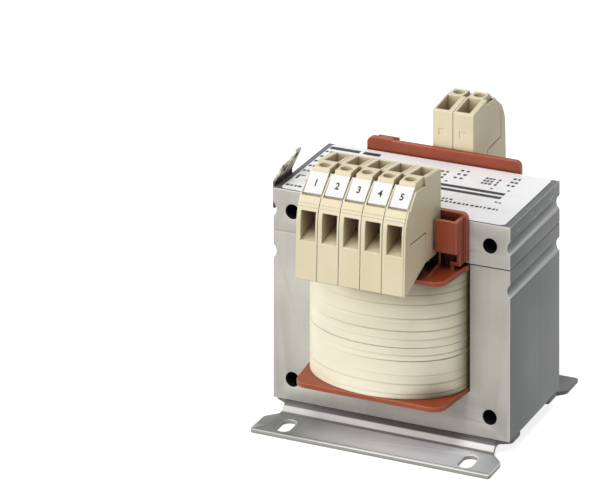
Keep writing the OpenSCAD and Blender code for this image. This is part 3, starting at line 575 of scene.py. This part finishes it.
path = add(winder, "GeometryNodeSetPosition", {
    "Geometry": circle.outputs[0], "Position": oval.outputs[0]})
upright = add(winder, "GeometryNodeSetCurveNormal", {"Curve": path.outputs[0]}, mode="Z_UP")
section = add(winder, "GeometryNodeCurvePrimitiveQuadrilateral", {
    "Width": given["Tape stock"], "Height": 1.0})
sleeve = add(winder, "GeometryNodeCurveToMesh", {
    "Curve": upright.outputs[0], "Profile Curve": section.outputs[0]})

# The turns: the sleeve at each point, as high as that turn. The share of the height goes with it.
share = add(winder, "ShaderNodeMath", {0: at.outputs["Z"], 1: 0.5}, operation="ADD")
kept = add(winder, "GeometryNodeCaptureAttribute", {"Geometry": sleeve.outputs[0]})
kept.capture_items.new("FLOAT", "share")
winder.links.new(share.outputs[0], kept.inputs["share"])
half_turn = add(winder, "ShaderNodeMath", {0: value["turn_height"], 1: 0.5}, operation="MULTIPLY")
lift = add(winder, "ShaderNodeCombineXYZ", {"Z": half_turn.outputs[0]})
middles = add(winder, "GeometryNodeSetPosition", {"Geometry": given["Turns"], "Offset": lift.outputs[0]})
stretch = add(winder, "ShaderNodeCombineXYZ", {"X": 1.0, "Y": 1.0, "Z": value["turn_height"]})
turns = add(winder, "GeometryNodeInstanceOnPoints", {
    "Points": middles.outputs[0], "Instance": kept.outputs[0], "Scale": stretch.outputs[0]})
real = add(winder, "GeometryNodeRealizeInstances", {"Geometry": turns.outputs[0]})
above = add(winder, "ShaderNodeMath", {
    0: kept.outputs["share"], 1: value["turn_height"]}, operation="MULTIPLY")
measured = add(winder, "GeometryNodeStoreNamedAttribute", {
    "Geometry": real.outputs[0], "Name": "above_edge", "Value": above.outputs[0]},
    data_type="FLOAT", domain="POINT")
glued = add(winder, "GeometryNodeStoreNamedAttribute", {
    "Geometry": measured.outputs[0], "Name": "lap_shade_share", "Value": value["lap_shade"]},
    data_type="FLOAT", domain="POINT")

# The laps: each turn leans in towards its top, and no turn is quite level.
outline_x = add(winder, "ShaderNodeMath", {
    0: at.outputs["X"], 1: given["Half width"]}, operation="DIVIDE")
full_reach = add(winder, "ShaderNodeMath", {0: given["Half stack"], 1: given["Reach"]}, operation="ADD")
outline_y = add(winder, "ShaderNodeMath", {
    0: at.outputs["Y"], 1: full_reach.outputs[0]}, operation="DIVIDE")
outwards = add(winder, "ShaderNodeCombineXYZ", {"X": outline_x.outputs[0], "Y": outline_y.outputs[0]})
direction = add(winder, "ShaderNodeVectorMath", {0: outwards.outputs[0]}, operation="NORMALIZE")
lean = add(winder, "ShaderNodeMath", {
    0: kept.outputs["share"], 1: value["turn_lean"]}, operation="MULTIPLY")
inwards = add(winder, "ShaderNodeMath", {0: lean.outputs[0], 1: -1.0}, operation="MULTIPLY")
pulled = add(winder, "ShaderNodeVectorMath", {
    0: direction.outputs[0], "Scale": inwards.outputs[0]}, operation="SCALE")
tilt_y = add(winder, "ShaderNodeMath", {0: at.outputs["Y"], 1: value["tilt_y"]}, operation="MULTIPLY")
tilt = add(winder, "ShaderNodeMath", {
    0: at.outputs["X"], 1: value["tilt_x"], 2: tilt_y.outputs[0]}, operation="MULTIPLY_ADD")
tipped = add(winder, "ShaderNodeCombineXYZ", {"Z": tilt.outputs[0]})
moved = add(winder, "ShaderNodeVectorMath", {0: pulled.outputs[0], 1: tipped.outputs[0]}, operation="ADD")
laid = add(winder, "GeometryNodeSetPosition", {"Geometry": glued.outputs[0], "Offset": moved.outputs[0]})
taped = add(winder, "GeometryNodeSetMaterial", {"Geometry": laid.outputs[0], "Material": given["Tape"]})
winder.links.new(taped.outputs[0], winder.nodes.new("NodeGroupOutput").inputs["Wrap"])

wrap = bpy.data.objects.new("tape_wrap", turn_points)
bpy.context.scene.collection.objects.link(wrap)
run_group(wrap, winder, tape_amounts)
shape = bmesh.new()
shape.from_mesh(wrap.data)
bmesh.ops.recalc_face_normals(shape, faces=shape.faces)
shape.to_mesh(wrap.data)
shape.free()
wrap.data.set_sharp_from_angle(angle=math.radians(40))
wrap.data.polygons.foreach_set("material_index", [0] * len(wrap.data.polygons))
dress(wrap, tape)
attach(wrap, "root")
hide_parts("outer_wrap")


# The rating label is a white polyester film stuck on the upper yoke, with rounded corners.
# The film is cast smooth and die cut. The eye sees a cold white with a little gloss and a faint
# orange peel 4 mm wide from its glue. Its cut edge is painted grey as shade.
label_film, tree, shader = start_material("white_polyester_label", Roughness=0.35, IOR=1.58)
place = add(tree, "ShaderNodeTexCoord")
peel = add(tree, "ShaderNodeTexNoise", {
    "Vector": place.outputs["Object"], "Scale": 1 / (4 * MM), "Detail": 2.0})
whites = add(tree, "ShaderNodeValToRGB", {"Fac": peel.outputs["Fac"]}, stops=(
    (0.3, "#F4F4F6"), (0.7, "#F8F8FA")))
facing = add(tree, "ShaderNodeSeparateXYZ", {0: place.outputs["Normal"]})
is_cut = add(tree, "ShaderNodeMapRange", {"Value": facing.outputs["Z"], "From Min": 0.7, "From Max": 0.3})
label_edge_shade = add(tree, "ShaderNodeMix", {
    0: is_cut.outputs[0], 6: whites.outputs[0], 7: linear("#77777A")}, data_type="RGBA")
tree.links.new(label_edge_shade.outputs[2], shader.inputs["Base Color"])
relief = add(tree, "ShaderNodeBump", {
    "Height": peel.outputs["Fac"], "Distance": 0.02 * MM, "Strength": 0.3})
tree.links.new(relief.outputs[0], shader.inputs["Normal"])
dress(cad["rating_label"], label_film)

# Its print is a plain layout of bars and short marks in black thermal ink, 0.02 mm proud.
# A mark is given by its left end and its middle line, measured from the middle of the label, and
# by its length and its height, in millimetres.
INK_PROUD = 0.02 * MM
label_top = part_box("rating_label")[1].z
bars = [
    (-14, 2.9, 44.1, 2.1), (-14, -0.5, 44.1, 2.1), (-39.4, 18.2, 11, 2.4), (-27.2, 18.2, 6.2, 2.4),
    (-38.9, -10.4, 0.9, 3.6), (-38.0, -8.9, 1.6, 0.7), (-35.0, -11.6, 1.0, 2.2)]
dashes = [(x, y, 0.9, 1.0) for x, y in ((7.4, 6.2), (23.7, 6.1), (29.6, 6.5), (29.4, -4.3), (30.8, -4.5))]
for left, back, rows, pitch, marks in (
        (2.8, 13.9, 3, 2.6, ((0, 1.3), (2.0, 1.1))),
        (8.9, 17.0, 3, 3.3, ((0, 1.1), (2.1, 1.1))),
        (19.0, 14.0, 3, 2.2, ((0, 0.9), (1.2, 1.0), (2.5, 1.0), (4.6, 0.9))),
        (27.7, 17.1, 3, 3.1, ((0, 1.1), (1.6, 1.0))),
        (-39.4, 14.4, 5, 4.7, ((0, 1.1), (1.5, 1.0)))):
    for row in range(rows):
        for start, length in marks:
            dashes.append((left + start, back - row * pitch, length * random.uniform(0.85, 1.1), 1.4))
for left, right, level in ((11.0, 16.6, -8.2), (8.0, 32.4, -10.4), (-39.2, -31.5, -18.4)):
    while left < right:
        length = random.uniform(0.6, 1.3)
        dashes.append((left, level, length, 1.4))
        left += length + random.uniform(0.4, 0.7)
marks = bars + dashes

print_points = bpy.data.meshes.new("print_marks")
print_points.from_pydata(
    [((x + w / 2) * MM, y * MM, label_top + INK_PROUD) for x, y, w, h in marks], [], [])
for name, column in (("mark_length", 2), ("mark_height", 3)):
    stored = print_points.attributes.new(name, "FLOAT", "POINT")
    stored.data.foreach_set("value", [mark[column] * MM for mark in marks])

# Resin ink, melted off its ribbon: a flat black that is thin in spots 1.1 mm wide.
ink, tree, shader = start_material("black_thermal_ink", Roughness=0.5)
place = add(tree, "ShaderNodeTexCoord")
ribbon = add(tree, "ShaderNodeTexNoise", {
    "Vector": place.outputs["Object"], "Scale": 1 / (1.1 * MM), "Detail": 2.0})
blacks = add(tree, "ShaderNodeValToRGB", {"Fac": ribbon.outputs["Fac"]}, stops=(
    (0.35, "#141416"), (0.7, "#29292C")))
tree.links.new(blacks.outputs[0], shader.inputs["Base Color"])

printer, given = start_group("print_marks", "Marks", {"Ink": ink}, "Print")
square = add(printer, "GeometryNodeMeshGrid", {
    "Size X": 1.0, "Size Y": 1.0, "Vertices X": 2, "Vertices Y": 2})
length = add(printer, "GeometryNodeInputNamedAttribute", {"Name": "mark_length"}, data_type="FLOAT")
height = add(printer, "GeometryNodeInputNamedAttribute", {"Name": "mark_height"}, data_type="FLOAT")
stretch = add(printer, "ShaderNodeCombineXYZ", {"X": length.outputs[0], "Y": height.outputs[0], "Z": 1.0})
placed = add(printer, "GeometryNodeInstanceOnPoints", {
    "Points": given["Marks"], "Instance": square.outputs[0], "Scale": stretch.outputs[0]})
real = add(printer, "GeometryNodeRealizeInstances", {"Geometry": placed.outputs[0]})
inked = add(printer, "GeometryNodeSetMaterial", {"Geometry": real.outputs[0], "Material": given["Ink"]})
printer.links.new(inked.outputs[0], printer.nodes.new("NodeGroupOutput").inputs["Print"])

label_print = bpy.data.objects.new("label_print", print_points)
bpy.context.scene.collection.objects.link(label_print)
run_group(label_print, printer, {"Ink": ink})
dress(label_print, ink)
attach(label_print, "root")


# The terminals are seven beige polyamide housings side by side, snapped onto the bobbin's walls,
# and a thin end plate that closes the front row. Moulded in finely eroded steel, they are satin.
# Their thin rims get a painted highlight, and their corners and openings get painted shade, brown.
beige = moulded_polyamide(
    "moulded_beige_polyamide", roughness=0.5, flow_width=17 * MM, edge_radius=0.4 * MM,
    body=((0.3, "#DACDAA"), (0.7, "#E2D6B6")), highlight="#F6EFD9", corner="#85704E",
    depth_shade="#74522E", depth_share=0.55)
for node in ("end_plate", *(f"terminal_{n}" for n in range(1, 8))):
    dress(cad[node], beige)


# Each terminal has a white marker, punched from polyamide card and snapped onto the slope, with
# its number in black ink. The card is matt and milky, with faint clouds 3.3 mm wide. The
# numbers are plain numerals, 2.5 mm high.
marker_white, tree, shader = start_material("white_marker_card", Roughness=0.4)
place = add(tree, "ShaderNodeTexCoord")
cloud = add(tree, "ShaderNodeTexNoise", {
    "Vector": place.outputs["Object"], "Scale": 1 / (3.3 * MM), "Detail": 2.0})
whites = add(tree, "ShaderNodeValToRGB", {"Fac": cloud.outputs["Fac"]}, stops=(
    (0.3, "#E6E5E3"), (0.7, "#ECEBEA")))
tree.links.new(whites.outputs[0], shader.inputs["Base Color"])

NUMERAL_HEIGHT, NUMERAL_NARROWING, NUMERAL_BOLDNESS = 2.5 * MM, 0.85, 0.03
for n in range(1, 8):
    marker = cad[f"marker_{n}"]
    dress(marker, marker_white)
    top_faces = [face for face in marker.data.polygons if face.normal.z > 0.7]
    corner_numbers = [i for face in top_faces for i in face.vertices]
    corners = {tuple(round(c, 7) for c in marker.data.vertices[i].co) for i in corner_numbers}
    middle = sum((Vector(corner) for corner in corners), Vector()) / len(corners)
    out = top_faces[0].normal.copy()
    across = Vector((1, 0, 0)) if out.y < 0 else Vector((-1, 0, 0))
    up_slope = out.cross(across)

    lettering = bpy.data.curves.new(f"numeral_{n}", "FONT")
    lettering.body = str(n)
    lettering.align_x = "CENTER"
    lettering.offset = NUMERAL_BOLDNESS
    drawn = bpy.data.objects.new("drawn_numeral", lettering)
    bpy.context.scene.collection.objects.link(drawn)
    bpy.context.view_layer.update()
    evaluated = drawn.evaluated_get(bpy.context.evaluated_depsgraph_get())
    numeral_mesh = bpy.data.meshes.new_from_object(evaluated)
    bpy.data.objects.remove(drawn)
    spread = [[corner.co[axis] for corner in numeral_mesh.vertices] for axis in (0, 1)]
    centre = [(min(side) + max(side)) / 2 for side in spread]
    scale = NUMERAL_HEIGHT / (max(spread[1]) - min(spread[1]))
    for corner in numeral_mesh.vertices:
        right = (corner.co.x - centre[0]) * scale * NUMERAL_NARROWING
        up = (corner.co.y - centre[1]) * scale
        corner.co = middle + across * right + up_slope * up + out * INK_PROUD
    numeral = bpy.data.objects.new(f"numeral_{n}", numeral_mesh)
    bpy.context.scene.collection.objects.link(numeral)
    dress(numeral, ink)
    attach(numeral, "root")


# In each housing a cage of zinc-plated steel is drawn up by a slotted screw in the top hole.
# Punched and turned steel keeps fine tool marks under its plating. The eye sees a grey shine
# with streaks 1.1 mm wide and 5 mm high, coarser than the real marks so that they show.
clamp_steel, tree, shader = start_material("plated_clamp_steel", Metallic=0.9, Roughness=0.35)
place = add(tree, "ShaderNodeTexCoord")
along_tool = add(tree, "ShaderNodeMapping", {
    "Vector": place.outputs["Object"], "Scale": (1 / (1.1 * MM), 1 / (1.1 * MM), 1 / (5 * MM))})
tool = add(tree, "ShaderNodeTexNoise", {"Vector": along_tool.outputs[0], "Scale": 1.0, "Detail": 2.0})
greys = add(tree, "ShaderNodeValToRGB", {"Fac": tool.outputs["Fac"]}, stops=(
    (0.3, "#9A9A9A"), (0.7, "#B9B9B8")))
tree.links.new(greys.outputs[0], shader.inputs["Base Color"])
for n in range(1, 8):
    dress(cad[f"cage_{n}"], clamp_steel)
    dress(cad[f"clamp_screw_{n}"], clamp_steel)


# The earth tab is one strip of tinned brass on the left end of the yoke, with two blades that
# lean in over the core. Hot tin is bright and cloudy. It is darker low down between the blades,
# and a dark disc is painted where each blade's hole is, as the shade in it.
brass, tree, shader = start_material("hot_tinned_brass", Metallic=0.7)
place = add(tree, "ShaderNodeTexCoord")
where = add(tree, "ShaderNodeSeparateXYZ", {0: place.outputs["Object"]})
along_blade = add(tree, "ShaderNodeMapping", {
    "Vector": place.outputs["Object"], "Scale": (1 / (2.5 * MM), 1 / (1.5 * MM), 1 / (5 * MM))})
cloud = add(tree, "ShaderNodeTexNoise", {"Vector": along_blade.outputs[0], "Scale": 1.0, "Detail": 4.0})
tins = add(tree, "ShaderNodeValToRGB", {"Fac": cloud.outputs["Fac"]}, stops=(
    (0.34, "#5E594C"), (0.45, "#A9A596"), (0.62, "#D9D6CA")))
low = add(tree, "ShaderNodeMapRange", {
    "Value": where.outputs["Z"], "From Min": core_high.z + 4.2 * MM, "From Max": core_high.z + 1.2 * MM,
    "To Max": 0.85})
low_darkened = add(tree, "ShaderNodeMix", {
    0: low.outputs[0], 6: tins.outputs[0], 7: linear("#332B26")}, data_type="RGBA")
BLADE_W = 6.3 * MM
tab_low, tab_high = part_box("earth_tab")
front_hole = (tab_low.y + BLADE_W / 2, core_high.z + 5.3 * MM)
rear_hole = (tab_high.y - BLADE_W / 2, core_high.z + 7.2 * MM)
colour = low_darkened
for hole_y, hole_z in (front_hole, rear_hole):
    beside = add(tree, "ShaderNodeMath", {0: where.outputs["Y"], 1: hole_y}, operation="SUBTRACT")
    above = add(tree, "ShaderNodeMath", {0: where.outputs["Z"], 1: hole_z}, operation="SUBTRACT")
    off = add(tree, "ShaderNodeCombineXYZ", {"X": beside.outputs[0], "Y": above.outputs[0]})
    reach = add(tree, "ShaderNodeVectorMath", {0: off.outputs[0]}, operation="LENGTH")
    hole_shade = add(tree, "ShaderNodeMapRange", {
        "Value": reach.outputs["Value"], "From Min": 1.35 * MM, "From Max": 1.1 * MM, "To Max": 0.9})
    colour = add(tree, "ShaderNodeMix", {
        0: hole_shade.outputs[0], 6: colour.outputs[2], 7: linear("#2A2521")}, data_type="RGBA")
tree.links.new(colour.outputs[2], shader.inputs["Base Color"])
rough = add(tree, "ShaderNodeMapRange", {"Value": cloud.outputs["Fac"], "To Min": 0.5, "To Max": 0.25})
tree.links.new(rough.outputs[0], shader.inputs["Roughness"])
dress(broken_edges("earth_tab", 0.1 * MM), brass)
